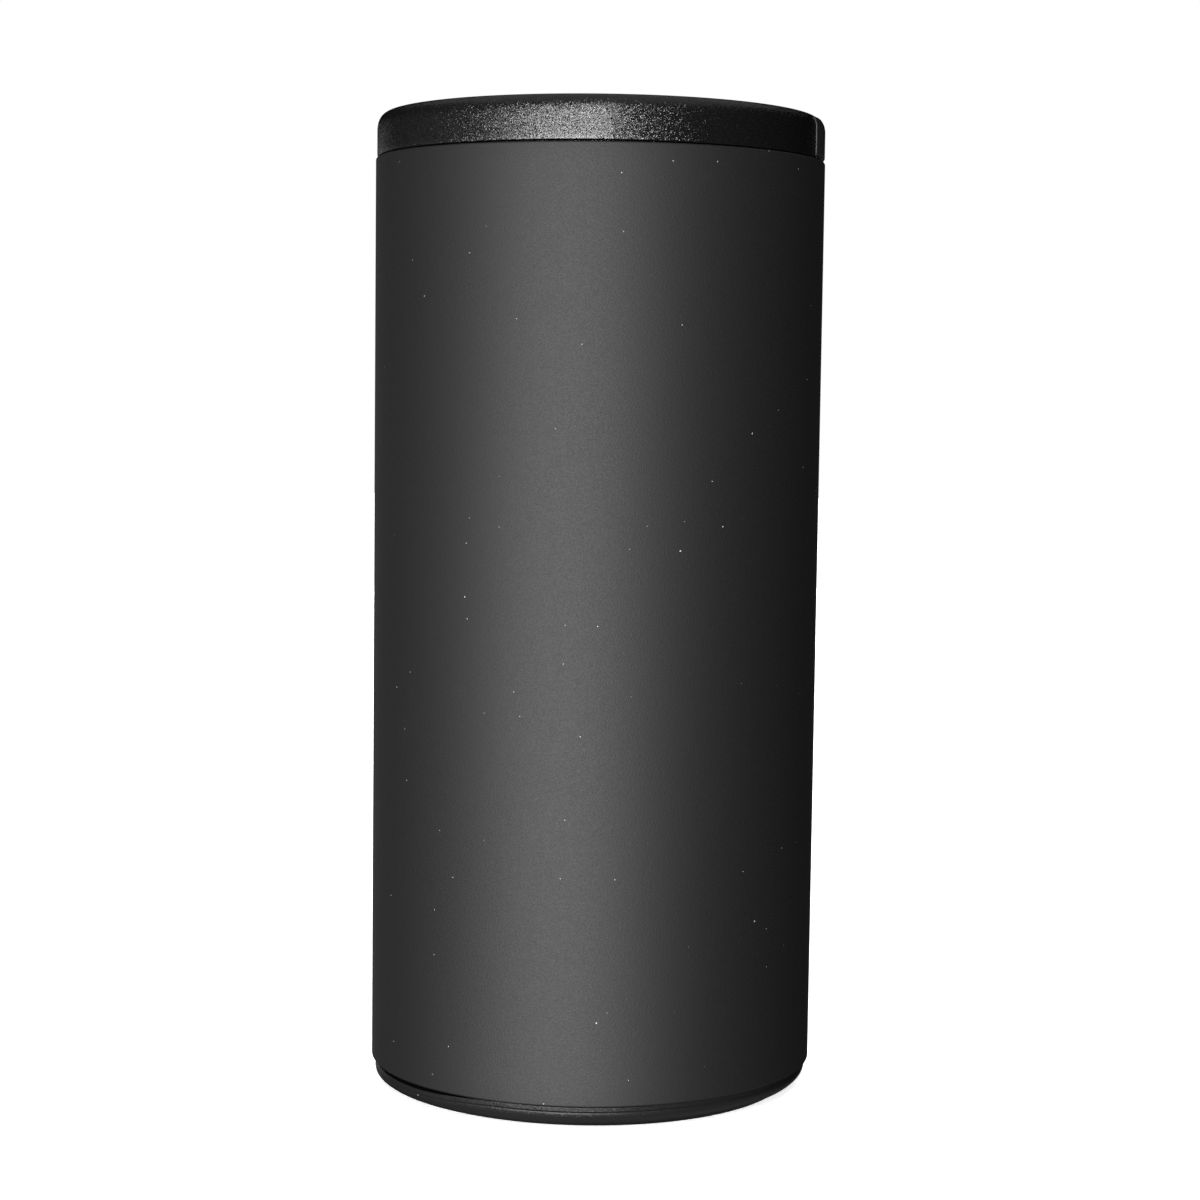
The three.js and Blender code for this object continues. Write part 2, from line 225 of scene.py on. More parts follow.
class Paint:
    """A node material under construction: a Principled shader and the nodes that feed it."""

    def __init__(self, name, colour, roughness, **values):
        self.material = bpy.data.materials.new(name)
        self.material.use_nodes = True
        self.tree = self.material.node_tree
        self.shader = self.tree.nodes["Principled BSDF"]
        self.shader.inputs["Base Color"].default_value = (*colour, 1)
        self.shader.inputs["Roughness"].default_value = roughness
        for key, value in values.items():
            self.shader.inputs[key.replace("_", " ")].default_value = value
        self.place = self.tree.nodes.new("ShaderNodeTexCoord").outputs["Object"]
        self.bumps = None

    def node(self, kind, **settings):
        """A new node of a kind, with its settings."""
        made = self.tree.nodes.new(kind)
        for key, value in settings.items():
            setattr(made, key, value)
        return made

    def link(self, source, target):
        self.tree.links.new(source, target)

    def stretched(self, scale):
        """Object coordinates stretched by a scale for each axis."""
        mapping = self.node("ShaderNodeMapping")
        self.link(self.place, mapping.inputs["Vector"])
        mapping.inputs["Scale"].default_value = scale
        return mapping.outputs["Vector"]

    def noise(self, size, detail=2.0, rough=0.5, place=None):
        """Noise whose blobs are about size metres across."""
        made = self.node("ShaderNodeTexNoise")
        self.link(place or self.place, made.inputs["Vector"])
        made.inputs["Scale"].default_value = 1 / size
        made.inputs["Detail"].default_value = detail
        made.inputs["Roughness"].default_value = rough
        return made.outputs["Fac"]

    def cells(self, size, output="Distance", place=None):
        """Voronoi cells about size metres across."""
        made = self.node("ShaderNodeTexVoronoi")
        self.link(place or self.place, made.inputs["Vector"])
        made.inputs["Scale"].default_value = 1 / size
        return made.outputs[output]

    def ranged(self, source, low, high, to_low, to_high):
        """source from low..high to to_low..to_high, clamped."""
        made = self.node("ShaderNodeMapRange")
        self.link(source, made.inputs["Value"])
        for key, value in (("From Min", low), ("From Max", high), ("To Min", to_low), ("To Max", to_high)):
            made.inputs[key].default_value = value
        return made.outputs["Result"]

    def maths(self, operation, first, second):
        """The result of an operation on two values, each a number or a socket."""
        made = self.node("ShaderNodeMath", operation=operation)
        for socket, value in zip(made.inputs, (first, second)):
            if isinstance(value, (int, float)):
                socket.default_value = value
            else:
                self.link(value, socket)
        return made.outputs["Value"]

    def upward(self, low, high):
        """0 where the surface's upward share is below low, and 1 where it is above high."""
        parts = self.node("ShaderNodeSeparateXYZ")
        self.link(self.node("ShaderNodeNewGeometry").outputs["Normal"], parts.inputs["Vector"])
        return self.ranged(parts.outputs["Z"], low, high, 0, 1)

    def varied(self, size, low, high):
        """A value from low to high that differs from cell to cell, with cells about size metres across."""
        parts = self.node("ShaderNodeSeparateColor")
        self.link(self.cells(size, "Color"), parts.inputs["Color"])
        return self.ranged(parts.outputs["Red"], 0, 1, low, high)

    def facets(self, size, tilt):
        """Turns the surface another way in each cell of about size metres: most cells little, a few more."""
        centred = self.node("ShaderNodeVectorMath", operation="SUBTRACT")
        self.link(self.cells(size, "Color"), centred.inputs[0])
        centred.inputs[1].default_value = (0.5, 0.5, 0.5)
        largest_cube = 0.5**3
        cubed = centred.outputs["Vector"]
        for _ in range(2):
            product = self.node("ShaderNodeVectorMath", operation="MULTIPLY")
            self.link(cubed, product.inputs[0])
            self.link(centred.outputs["Vector"], product.inputs[1])
            cubed = product.outputs["Vector"]
        sized = self.node("ShaderNodeVectorMath", operation="SCALE")
        self.link(cubed, sized.inputs[0])
        sized.inputs["Scale"].default_value = tilt / largest_cube
        turned_by = self.node("ShaderNodeVectorMath", operation="ADD")
        self.link(self.node("ShaderNodeNewGeometry").outputs["Normal"], turned_by.inputs[0])
        self.link(sized.outputs["Vector"], turned_by.inputs[1])
        unit = self.node("ShaderNodeVectorMath", operation="NORMALIZE")
        self.link(turned_by.outputs["Vector"], unit.inputs[0])
        self.bumps = unit.outputs["Vector"]
        self.link(self.bumps, self.shader.inputs["Normal"])

    def mixed(self, share, first, second):
        """A colour from first to second, by share."""
        made = self.node("ShaderNodeMix", data_type="RGBA")
        self.link(share, made.inputs["Factor"])
        for key, value in (("A", first), ("B", second)):
            socket = next(s for s in made.inputs if s.name == key and s.type == "RGBA")
            if isinstance(value, tuple):
                socket.default_value = (*value, 1)
            else:
                self.link(value, socket)
        return next(s for s in made.outputs if s.type == "RGBA")

    def colour(self, source):
        self.link(source, self.shader.inputs["Base Color"])

    def roughness(self, source):
        self.link(source, self.shader.inputs["Roughness"])

    def bump(self, height, distance, strength=1.0):
        """Adds a bump of up to distance metres."""
        made = self.node("ShaderNodeBump")
        self.link(height, made.inputs["Height"])
        made.inputs["Distance"].default_value = distance
        made.inputs["Strength"].default_value = strength
        if self.bumps is not None:
            self.link(self.bumps, made.inputs["Normal"])
        self.bumps = made.outputs["Normal"]
        self.link(self.bumps, self.shader.inputs["Normal"])


def specks(paint, size, reach, share):
    """1 in small spots, about one in each cell of size metres, in a share of the cells."""
    edge = reach / size
    near = paint.ranged(paint.cells(size), 0.7 * edge, edge, 1, 0)
    chosen = paint.node("ShaderNodeSeparateColor")
    paint.link(paint.cells(size, "Color"), chosen.inputs["Color"])
    abrupt = 0.001
    lucky = paint.ranged(chosen.outputs["Red"], share, share + abrupt, 1, 0)
    return paint.maths("MULTIPLY", near, lucky)


def sleeve_rubber():
    """Velvety matte rubber with a faint mottle and a few specks of lint."""
    paint = Paint("sleeve_rubber", (0.005, 0.005, 0.005), 0.63, Specular_IOR_Level=0.6)
    fine = paint.noise(0.32 * MM, 2)
    mottle = paint.ranged(paint.noise(3 * MM, 4, 0.6), 0.3, 0.7, -0.006, 0.006)
    large = specks(paint, 8 * MM, 0.2 * MM, 0.5)
    small = specks(paint, 3.5 * MM, 0.13 * MM, 0.5)
    paint.colour(paint.mixed(paint.maths("MAXIMUM", large, small), (0.005, 0.005, 0.005), (0.5, 0.5, 0.49)))
    paint.roughness(paint.maths("ADD", mottle, paint.varied(0.27 * MM, 0.6, 0.66)))
    paint.bump(fine, 0.05 * MM)
    return paint.material


def lid_plastic():
    """Satin plastic with a mould grain that sparkles, some grains rougher than others, and a duller top."""
    paint = Paint("lid_plastic", (0.006, 0.006, 0.006), 0.17, Specular_IOR_Level=0.75)
    satin = paint.ranged(paint.noise(3 * MM), 0.3, 0.7, 0.12, 0.15)
    top = paint.maths("MULTIPLY", paint.upward(0.9, 0.98), 0.42)
    grains = paint.maths("MAXIMUM", paint.varied(0.17 * MM, -0.35, 0.22), 0.0)
    paint.roughness(paint.maths("ADD", paint.maths("ADD", satin, top), grains))
    paint.facets(0.12 * MM, 0.4)
    return paint.material


def pad_plastic():
    """Smoother satin plastic."""
    paint = Paint("pad_plastic", (0.03, 0.03, 0.03), 0.36)
    paint.roughness(paint.ranged(paint.noise(1.5 * MM, 3), 0.3, 0.7, 0.32, 0.42))
    paint.bump(paint.noise(0.3 * MM, 2), 0.01 * MM)
    return paint.material


def base_plastic():
    """Semi-gloss plastic with faint handling marks."""
    paint = Paint("base_plastic", (0.012, 0.012, 0.012), 0.36, Specular_IOR_Level=0.33)
    along = paint.stretched((1, 1, 4))
    marks = paint.noise(1.2 * MM, 4, 0.7, along)
    paint.roughness(paint.ranged(marks, 0.3, 0.7, 0.32, 0.42))
    lint = specks(paint, 4 * MM, 0.17 * MM, 0.5)
    paint.colour(paint.mixed(lint, (0.012, 0.012, 0.012), (0.4, 0.4, 0.4)))
    paint.facets(0.16 * MM, 0.25)
    paint.bump(paint.noise(0.6 * MM, 3), 0.012 * MM)
    return paint.material


def tube_plastic():
    """Plain dark tube, lightly scuffed along its length."""
    paint = Paint("tube_plastic", (0.012, 0.012, 0.013), 0.45)
    scuffs = paint.noise(1.5 * MM, 4, 0.6, paint.stretched((1, 1, 0.1)))
    paint.roughness(paint.ranged(scuffs, 0.3, 0.7, 0.38, 0.55))
    paint.bump(scuffs, 0.01 * MM)
    return paint.material


def liner_rubber():
    """Dull moulded rubber with a little grey bloom."""
    paint = Paint("liner_rubber", (0.09, 0.09, 0.091), 0.65)
    bloom = paint.ranged(paint.noise(12 * MM, 5, 0.65), 0.45, 0.75, 0, 1)
    paint.colour(paint.mixed(bloom, (0.08, 0.08, 0.081), (0.12, 0.12, 0.122)))
    paint.roughness(paint.ranged(paint.noise(2 * MM, 3), 0.3, 0.7, 0.58, 0.75))
    paint.bump(paint.noise(0.5 * MM, 3), 0.025 * MM)
    return paint.material


def knob_plastic():
    """Satin moulded plastic with a fine grain."""
    paint = Paint("knob_plastic", (0.13, 0.13, 0.132), 0.36)
    paint.roughness(paint.ranged(paint.noise(3 * MM, 3), 0.3, 0.7, 0.32, 0.44))
    paint.bump(paint.noise(0.35 * MM, 3, 0.6), 0.03 * MM)
    return paint.material


def zinc_steel():
    """Zinc plate, slightly clouded, with fine turning marks."""
    paint = Paint("zinc_steel", (0.56, 0.57, 0.58), 0.3, Metallic=1.0)
    cloud = paint.ranged(paint.noise(4 * MM, 4, 0.6), 0.35, 0.7, 0, 1)
    paint.colour(paint.mixed(cloud, (0.6, 0.61, 0.62), (0.44, 0.45, 0.46)))
    paint.roughness(paint.ranged(paint.noise(0.8 * MM, 4, 0.6), 0.3, 0.7, 0.24, 0.42))
    paint.bump(paint.noise(0.25 * MM, 2), 0.006 * MM)
    return paint.material


def brass():
    """Turned brass, a little dulled."""
    paint = Paint("brass", (0.72, 0.5, 0.2), 0.3, Metallic=1.0)
    dulled = paint.ranged(paint.noise(2 * MM, 4, 0.6), 0.4, 0.7, 0, 1)
    paint.colour(paint.mixed(dulled, (0.74, 0.52, 0.21), (0.5, 0.34, 0.14)))
    paint.roughness(paint.ranged(paint.noise(0.6 * MM, 3), 0.3, 0.7, 0.22, 0.4))
    return paint.material


# ---------------------------------------------------------------------------------------------------------
# Barrel


def smooth(value, low, high):
    """0 below low, 1 above high, with soft ends between."""
    share = np.clip((value - low) / (high - low), 0, 1)
    return share * share * (3 - 2 * share)


# The cap is pushed home at the right but not at the left, where a gap is left under the sleeve.
GAP_MIDDLE = math.radians(-85)
GAP_DEEPEST = math.radians(32)
GAP_END = math.radians(63)

# How far the gap opens, how far the cap is pushed past its even height, how far its rim rises at most,
# and how much of that rise doesn't reach the sleeve.
GAP_DEPTH = 0.95 * MM
GAP_CLOSED = 0.05 * MM
RIM_RISE = 1.0 * MM
SLEEVE_SLACK = 0.35 * MM

# The groove under the cap's upper edge shows in front and runs out to both sides.
GROOVE_FRONT = math.radians(12)
GROOVE_END = math.radians(40)


def rim_lift(angle):
    """How far the cap's lower edge is off the floor: most at the right."""
    return RIM_RISE * ((1 + np.sin(angle)) / 2) ** 1.5


def sleeve_lift(angle):
    """How far the sleeve's lower edge is pushed up by the cap, at the right."""
    return np.maximum(0, rim_lift(angle) - SLEEVE_SLACK)


def ledge_lift(angle):
    """How far the cap's upper edge is from its even height: open at the left, closed elsewhere."""
    closing = smooth(apart(angle, GAP_MIDDLE), GAP_DEEPEST, GAP_END)
    return (GAP_DEPTH + GAP_CLOSED) * closing - GAP_DEPTH + sleeve_lift(angle)


def drive_sleeve(material):
    """Rubber sleeve with rounded ends, pushed up a little by the cap at the right."""
    inner = TUBE_RADIUS + GAP
    corners = [
        (inner, SLEEVE_LOW, 0.25 * MM),
        (SLEEVE_RADIUS, SLEEVE_LOW, 0.45 * MM),
        (SLEEVE_RADIUS, SLEEVE_TOP, 0.4 * MM),
        (inner, SLEEVE_TOP, 0.25 * MM),
    ]
    outline = divided(rounded(corners, True, 8), 4 * MM, True)
    lift_reach = 12 * MM

    def shape(radius, height, angle):
        fade = 1 - smooth(height, SLEEVE_LOW, SLEEVE_LOW + lift_reach)
        return radius, height + sleeve_lift(angle) * fade

    piece = turned("drive_sleeve_skin", outline, around(FINE), True, shape)
    place(piece, "barrel", material, "sleeve_rubber", "drive_sleeve")


def base_cap(material):
    """End cap: rounded rim under two fine beads, a foot ring, and a ribbed recess underneath."""
    ledge = BASE_TOP - 1.05 * MM
    edge_radial = 5.6 * MM
    edge_axial = ledge - 0.1 * MM
    foot_outer = BASE_RADIUS - edge_radial
    foot_inner = foot_outer - 7.8 * MM
    recess = 2.4 * MM
    spigot_outer = TUBE_RADIUS - 3 * MM
    spigot_inner = spigot_outer - 2.5 * MM
    bead = 0.17 * MM
    hub = 9 * MM
    hub_wall = 1.6 * MM
    rib_drop = 1.6 * MM
    rib_half = 0.65 * MM
    rib_flank = 1.6
    level = 0.1 * MM
    under = rounded(
        [
            (0, recess, 0),
            (hub - hub_wall, recess, 0.3 * MM),
            (hub - hub_wall, recess - rib_drop, 0.3 * MM),
            (hub, recess - rib_drop, 0.3 * MM),
            (hub, recess, 0.3 * MM),
            (foot_inner - 1 * MM, recess, 0.5 * MM),
            (foot_inner, 0, 0.3 * MM),
            (foot_outer, 0, 0),
        ],
        False,
    )
    rim = ellipse_arc((foot_outer, edge_axial), edge_radial, edge_axial, -90, -4, 24)
    top = rounded(
        [
            (BASE_RADIUS, ledge - bead, 0),
            (BASE_RADIUS - 0.1 * MM, ledge, 0.08 * MM),
            (BASE_RADIUS - 2.2 * bead, ledge + 0.15 * MM, 0.1 * MM),
            (BASE_RADIUS - bead, BASE_TOP, 0.1 * MM),
            (spigot_outer, BASE_TOP, 0.1 * MM),
            (spigot_outer, SPIGOT_TOP - 1 * MM, 0.2 * MM),
            (spigot_outer - 1 * MM, SPIGOT_TOP, 0.2 * MM),
            (spigot_inner, SPIGOT_TOP, 0.3 * MM),
            (spigot_inner, BASE_TOP, 0.5 * MM),
            (0, BASE_TOP, 0),
        ],
        False,
        3,
    )
    outline = divided(under[:-1] + rim + top, 1.2 * MM)
    ribs = 8

    def shape(radius, height, angle):
        across = radius * np.sin((angle * ribs / 2) % math.pi - math.pi / 2) * 2 / ribs
        rib = np.clip(rib_flank - np.abs(across) / rib_half, 0, 1)
        inside = (radius > hub) & (radius < foot_inner - 0.9 * MM)
        inside &= (height > recess - level) & (height < recess + level)
        height = np.where(inside, height - rib * rib_drop, height)
        up = smooth(height, 0, ledge - bead)
        groove = (up > 0.9) & (radius > BASE_RADIUS - 3 * bead) & (radius < BASE_RADIUS - bead)
        flush = 0.8 * smooth(apart(angle, 0), GROOVE_FRONT, GROOVE_END)
        radius = np.where(groove, radius + (BASE_RADIUS - bead - radius) * flush, radius)
        low_share = smooth(radius, foot_outer, foot_outer + 3 * MM) * (1 - up)
        high_share = smooth(radius, spigot_outer + 0.5 * MM, BASE_RADIUS - 2 * MM) * up
        return radius, height + rim_lift(angle) * low_share + ledge_lift(angle) * high_share

    piece = turned("base_cap_skin", outline, around(FINE * 2), False, shape)
    place(piece, "barrel", material, "base_plastic", "base_cap")


def liner(material):
    """Moulded rubber cup with lifter ribs and a lip over the tube's mouth."""
    lower_outer = TUBE_RADIUS - 5.8 * MM
    outer = TUBE_RADIUS - 3 * MM
    low = SLEEVE_LOW
    floor_top = low + 4 * MM
    lip_low = TUBE_TOP + GAP
    fillet = 10 * MM
    corners = [
        (0, low, 0),
        (lower_outer, low, 1 * MM),
        (lower_outer, SPIGOT_TOP + GAP, 0.2 * MM),
        (outer, SPIGOT_TOP + GAP, 0.5 * MM),
        (outer, lip_low, 0.3 * MM),
        (TUBE_RADIUS, lip_low, 0.5 * MM),
        (TUBE_RADIUS, LIP_TOP, 0.9 * MM),
        (LINER_RADIUS, LIP_TOP, 1.2 * MM),
        (LINER_RADIUS, floor_top, fillet),
        (0, floor_top, 0),
    ]
    outline = divided(rounded(corners, False, 10), 2.5 * MM)
    ribs = 8
    rib_height = 5 * MM
    rib_half = 6 * MM
    rib_top = 186.6 * MM
    rib_fade = 7 * MM
    near = 0.01 * MM

    def shape(radius, height, angle):
        across = LINER_RADIUS * ((angle * ribs) % FULL_TURN - math.pi) / ribs
        bulge = np.cos(np.clip(np.abs(across) / rib_half, 0, 1) * math.pi / 2) ** 1.5
        upper = np.clip((rib_top - height) / rib_fade, 0, 1)
        inner = (radius < LINER_RADIUS + near) & (height > floor_top - near)
        wall = np.clip((radius - (LINER_RADIUS - fillet)) / fillet, 0, 1)
        lift = rib_height * bulge * np.sin(upper * math.pi / 2) * wall**2
        return np.where(inner, radius - lift, radius), height

    piece = turned("liner_skin", outline, around(FINE), False, shape)
    place(piece, "barrel", material, "liner_rubber", "liner")


# ---------------------------------------------------------------------------------------------------------
# Closure


def pad_angles():
    """Angles round the lid, with extra ones beside the edges of the grip pads."""
    extra = []
    for middle in PAD_MIDDLES.values():
        for side in (-1, 1):
            edge = math.radians(middle) + side * (PAD_HALF + PAD_MARGIN / LID_RADIUS)
            extra += [edge, edge + side * PAD_WALL / LID_RADIUS]
    return np.sort(np.concatenate([around(FINE), np.array(extra) % FULL_TURN]))


def pad_recess(angle, height):
    """True where a grip pad's recess lies on the lid's rim."""
    reach = PAD_HALF + (PAD_MARGIN + PAD_WALL / 2) / LID_RADIUS
    low = LID_LOW + 0.4 * MM
    high = LID_TOP - 0.75 * MM
    inside = np.zeros(angle.shape, bool)
    for middle in PAD_MIDDLES.values():
        inside |= apart(angle, math.radians(middle)) < reach
    return inside & (height > low) & (height < high)


def lid(material):
    """Rounded rim round the knob's well, hollow and ribbed underneath."""
    wall = 2.45 * MM
    roof = LID_TOP - wall
    skirt_inner = LID_RADIUS - wall
    rim_inner = 44 * MM
    mouth = 35.8 * MM
    well_low_radius = WELL_OUTER - 3 * MM
    boss = 15.5 * MM
    boss_top = WELL_FLOOR + 0.15 * MM
    press_middle = (LINER_RADIUS + TUBE_RADIUS) / 2
    press_half = 1.1 * MM
    seat = 9.4 * MM
    seat_depth = 0.8 * MM
    press_low = LIP_TOP + GAP
    lower = rounded(
        [
            (BOLT_HOLE, WELL_LOW, 0.2 * MM),
            (WELL_OUTER, WELL_LOW, 1.5 * MM),
            (WELL_OUTER, roof, 0.8 * MM),
            (press_middle - press_half, roof, 0.6 * MM),
            (press_middle - press_half, press_low, 0.3 * MM),
            (press_middle + press_half, press_low, 0.3 * MM),
            (press_middle + press_half, roof, 0.6 * MM),
            (skirt_inner, roof, 0.6 * MM),
            (skirt_inner, LID_LOW, 0.3 * MM),
            (LID_RADIUS, LID_LOW, 0.25 * MM),
            (LID_RADIUS, LID_LOW + 2 * MM, 0),
        ],
        False,
    )
    rim = ellipse_arc(LID_EDGE_CENTRE, LID_EDGE_RADIAL, LID_EDGE_AXIAL, 0, 90, 16)
    upper = rounded(
        [
            (rim_inner, LID_TOP, 0),
            (mouth, LID_TOP, 0.9 * MM),
            (well_low_radius, WELL_FLOOR, 1.4 * MM),
            (boss, WELL_FLOOR, 0.4 * MM),
            (boss - 0.4 * MM, boss_top, 0),
            (seat, boss_top, 0.15 * MM),
            (seat, WELL_FLOOR - seat_depth, 0.15 * MM),
            (BOLT_HOLE, WELL_FLOOR - seat_depth, 0.2 * MM),
            (BOLT_HOLE, WELL_LOW + 0.5 * MM, 0),
        ],
        False,
    )
    outline = divided(lower[1:-1] + rim + upper, 1.0 * MM, True)

    def shape(radius, height, angle):
        recessed = pad_recess(angle, height) & (radius > LID_RADIUS - LID_EDGE_RADIAL + 0.5 * MM)
        return np.where(recessed, radius - PAD_DEPTH, radius), height

    piece = turned("lid_skin", outline, pad_angles(), True, shape)
    place(piece, "closure", material, "lid_plastic", "lid")
    ribs = 12
    for i in range(ribs):
        angle = (i + 0.5) * FULL_TURN / ribs
        rib_box(f"lid_rib_{i + 1}", piece, material, angle, WELL_OUTER, skirt_inner, roof)


def rib_box(name, lid_piece, material, angle, inner, outer, roof):
    """A stiffening rib under the lid's roof, with its lower edges rounded."""
    half = 0.7 * MM
    low = roof - 5 * MM
    soft = 0.3 * MM
    sunk = 0.5 * MM
    start = inner - sunk
    end = outer + sunk
    section = [(-half, roof + sunk), (-half, low + soft), (-half + soft, low), (half - soft, low)]
    section += [(half, low + soft), (half, roof + sunk)]
    count = len(section)
    vertices = []
    for along in (start, end):
        for across, height in section:
            x = along * math.sin(angle) + across * math.cos(angle)
            y = -along * math.cos(angle) + across * math.sin(angle)
            vertices.append((x, y, height))
    faces = [[k, (k + 1) % count, count + (k + 1) % count, count + k] for k in range(count)]
    faces += [list(range(count))[::-1], list(range(count, 2 * count))]
    piece = mesh_object(name, vertices, faces)
    piece.data.materials.append(material)
    piece.parent = lid_piece


def grip_pad(node, material):
    """A finely ribbed pad that lies in the lid's rim and stands a little proud of it."""
    middle = math.radians(PAD_MIDDLES[node])
    low = LID_LOW + 0.5 * MM
    upright = divided([np.array((LID_RADIUS, low)), np.array((LID_RADIUS, LID_EDGE_CENTRE[1]))], 0.3 * MM)
    rows = np.array(upright + ellipse_arc(LID_EDGE_CENTRE, LID_EDGE_RADIAL, LID_EDGE_AXIAL, 4, 50, 12))
    along = np.concatenate([[0], np.cumsum(np.linalg.norm(np.diff(rows, axis=0), axis=1))])
    length = along[-1]
    ribs = 22
    steps = ribs * 8
    across = np.linspace(-1, 1, steps + 1)
    bevel = 0.2 * MM
    groove = 0.05 * MM
    sunk = 0.8 * PAD_DEPTH
    half_width = PAD_HALF * LID_RADIUS
    slope = np.gradient(rows, axis=0)
    slope /= np.linalg.norm(slope, axis=1)[:, None]
    normal = np.stack([slope[:, 1], -slope[:, 0]], 1)
    vertices = []
    for side in across:
        angle = middle + side * PAD_HALF
        from_side = (1 - abs(side)) * half_width
        rib = 0.5 + 0.5 * math.cos(side * ribs * math.pi)
        for k, (radius, height) in enumerate(rows):
            from_end = min(along[k], length - along[k])
            edge = min(from_side, from_end) / bevel
            crown = math.sqrt(max(0, 1 - (1 - min(edge, 1)) ** 2))
            inner_share = min(1, max(0, (edge - 1) / 2))
            lift = PAD_PROUD * crown - groove * rib * inner_share
            r = radius + normal[k, 0] * lift
            z = height + normal[k, 1] * lift
            vertices.append(spot(r, angle, z))
    count = len(rows)
    outer = len(vertices)
    for side in across:
        angle = middle + side * PAD_HALF
        for k, (radius, height) in enumerate(rows):
            r = radius - normal[k, 0] * sunk
            z = height - normal[k, 1] * sunk
            vertices.append(spot(r, angle, z))
    faces = []
    for a in range(steps):
        for k in range(count - 1):
            here = a * count + k
            faces.append([here, here + count, here + count + 1, here + 1])
            faces.append([outer + here, outer + here + 1, outer + here + count + 1, outer + here + count])
    for a in range(steps):
        low_a, low_b = a * count, (a + 1) * count
        high_a, high_b = low_a + count - 1, low_b + count - 1
        faces.append([low_b, low_a, outer + low_a, outer + low_b])
        faces.append([high_a, high_b, outer + high_b, outer + high_a])
    last = steps * count
    for k in range(count - 1):
        faces.append([k, k + 1, outer + k + 1, outer + k])
        faces.append([last + k + 1, last + k, outer + last + k, outer + last + k + 1])
    piece = mesh_object(node + "_skin", vertices, faces, 50)
    place(piece, "closure", material, "pad_plastic", node)


def seal_plug(material):
    """Beaded rubber plug with a collar that goes round the lid's well."""
    bead_proud = 0.7 * MM
    body = PLUG_RADIUS - bead_proud
    socket = 8.1 * MM
    socket_roof = PLUG_LOW + 4.3 * MM
    seal_seat = 7 * MM
    disc_top = WELL_LOW - GAP
    seat_floor = disc_top - 2.8 * MM
    bead_half = 1.3 * MM
    beads = 3
    spacing = (PLUG_TOP - PLUG_LOW) / beads
    outline = rounded(
        [
            (BOLT_HOLE, socket_roof, 0),
            (socket, socket_roof, 0.2 * MM),
            (socket, PLUG_LOW, 0.3 * MM),
            (body, PLUG_LOW, 0.8 * MM),
            (body, PLUG_LOW + 0.9 * MM, 0),
        ],
        False,
    )
    for i in range(beads):
        bead_middle = PLUG_LOW + (i + 0.5) * spacing
        outline += ellipse_arc((body, bead_middle), bead_proud, bead_half, -90, 90, 12)
    outline += rounded(
        [
            (body, PLUG_TOP - 1 * MM, 0),
            (body, PLUG_TOP, 0.5 * MM),
            (WELL_OUTER + GAP, PLUG_TOP, 0.5 * MM),
            (WELL_OUTER + GAP, disc_top, 0.3 * MM),
            (seal_seat, disc_top, 0.2 * MM),
            (seal_seat, seat_floor, 0.2 * MM),
            (BOLT_HOLE, seat_floor, 0),
        ],
        False,
    )
    piece = turned("seal_plug_skin", outline, around(FINE), True)
    place(piece, "closure", material, "liner_rubber", "seal_plug")


def washer(node, inner, material, slot, body, edge):
    """A flat ring with rounded edges in the place of a CAD ring."""
    low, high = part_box(node)
    corners = [(inner, low.z, edge), (high.x, low.z, edge), (high.x, high.z, edge), (inner, high.z, edge)]
    piece = turned(node + "_skin", rounded(corners, True, 4), around(PLAIN), True)
    place(piece, body, material, slot, node)


def hexagon(angle, apothem):
    """The radius of a hexagon at each angle."""
    sixth = math.pi / 3
    return apothem / np.cos((angle + sixth / 2) % sixth - sixth / 2)


def clamp_bolt(material):
    """Hexagon head with a turned chamfer, and a threaded shank."""
    rise = 0.2 * MM
    apothem = HEAD_ACROSS_FLATS / 2
    head_top = BOLT_LOW + 5.3 * MM
    chamfer = 0.94 * apothem
    outline = [
        np.array((0, BOLT_LOW)),
        np.array((chamfer, BOLT_LOW)),
        np.array((apothem, BOLT_LOW + 0.5 * MM)),
        np.array((apothem, head_top)),
        np.array((BOLT_RADIUS, head_top)),
        np.array((BOLT_RADIUS - 0.8 * MM, head_top + rise)),
        np.array((0, head_top + rise)),
    ]

    def shape(radius, height, angle):
        on_flats = np.abs(radius - apothem) < TINY
        hexed = hexagon(angle, apothem)
        taper = (hexed - chamfer) * math.tan(math.radians(30))
        height = np.where(on_flats & (height < head_top - MM), BOLT_LOW + taper, height)
        return np.where(on_flats, hexed, radius), height

    head = turned("clamp_bolt_skin", outline, around(6 * 16), False, shape, 25)
    place(head, "closure", material, "zinc_steel", "clamp_bolt")
    shank = thread("clamp_bolt_thread", BOLT_RADIUS, head_top - rise, BOLT_TOP)
    shank.data.materials.append(material)
    shank.parent = head


def thread(name, radius, low, high):
    """A shank with a rolled thread of the bolt's pitch."""
    around_count = 48
    per_turn = 10
    depth = 0.6 * MM
    crest = 0.12
    slope = 0.76
    tip_depth = 0.7 * MM
    tip_height = 0.8 * MM
    rows = int((high - low) / THREAD_PITCH * per_turn) + per_turn
    vertices = []
    for row in range(rows + 1):
        for a in range(around_count):
            share = a / around_count
            height = low + (row / per_turn + share - 1) * THREAD_PITCH
            wave = abs((row / per_turn) % 1 - 0.5) * 2
            flank = min(1, max(0, (wave - crest) / slope))
            from_top = max(0, min(1, (high - height) / tip_height))
            r = min(radius - depth * flank, radius - tip_depth + tip_depth * from_top)
            height = min(max(height, low), high)
            angle = FULL_TURN * share
            vertices.append(spot(r, angle, height))
    faces = []
    for row in range(rows):
        for a in range(around_count):
            if a < around_count - 1:
                b, shift = a + 1, 0
            else:
                b, shift = 0, per_turn
            corners = [(row, a), (row + shift, b), (row + 1 + shift, b), (row + 1, a)]
            if row + 1 + shift <= rows:
                faces.append([line * around_count + k for line, k in corners])
    return mesh_object(name, vertices, faces, 60)


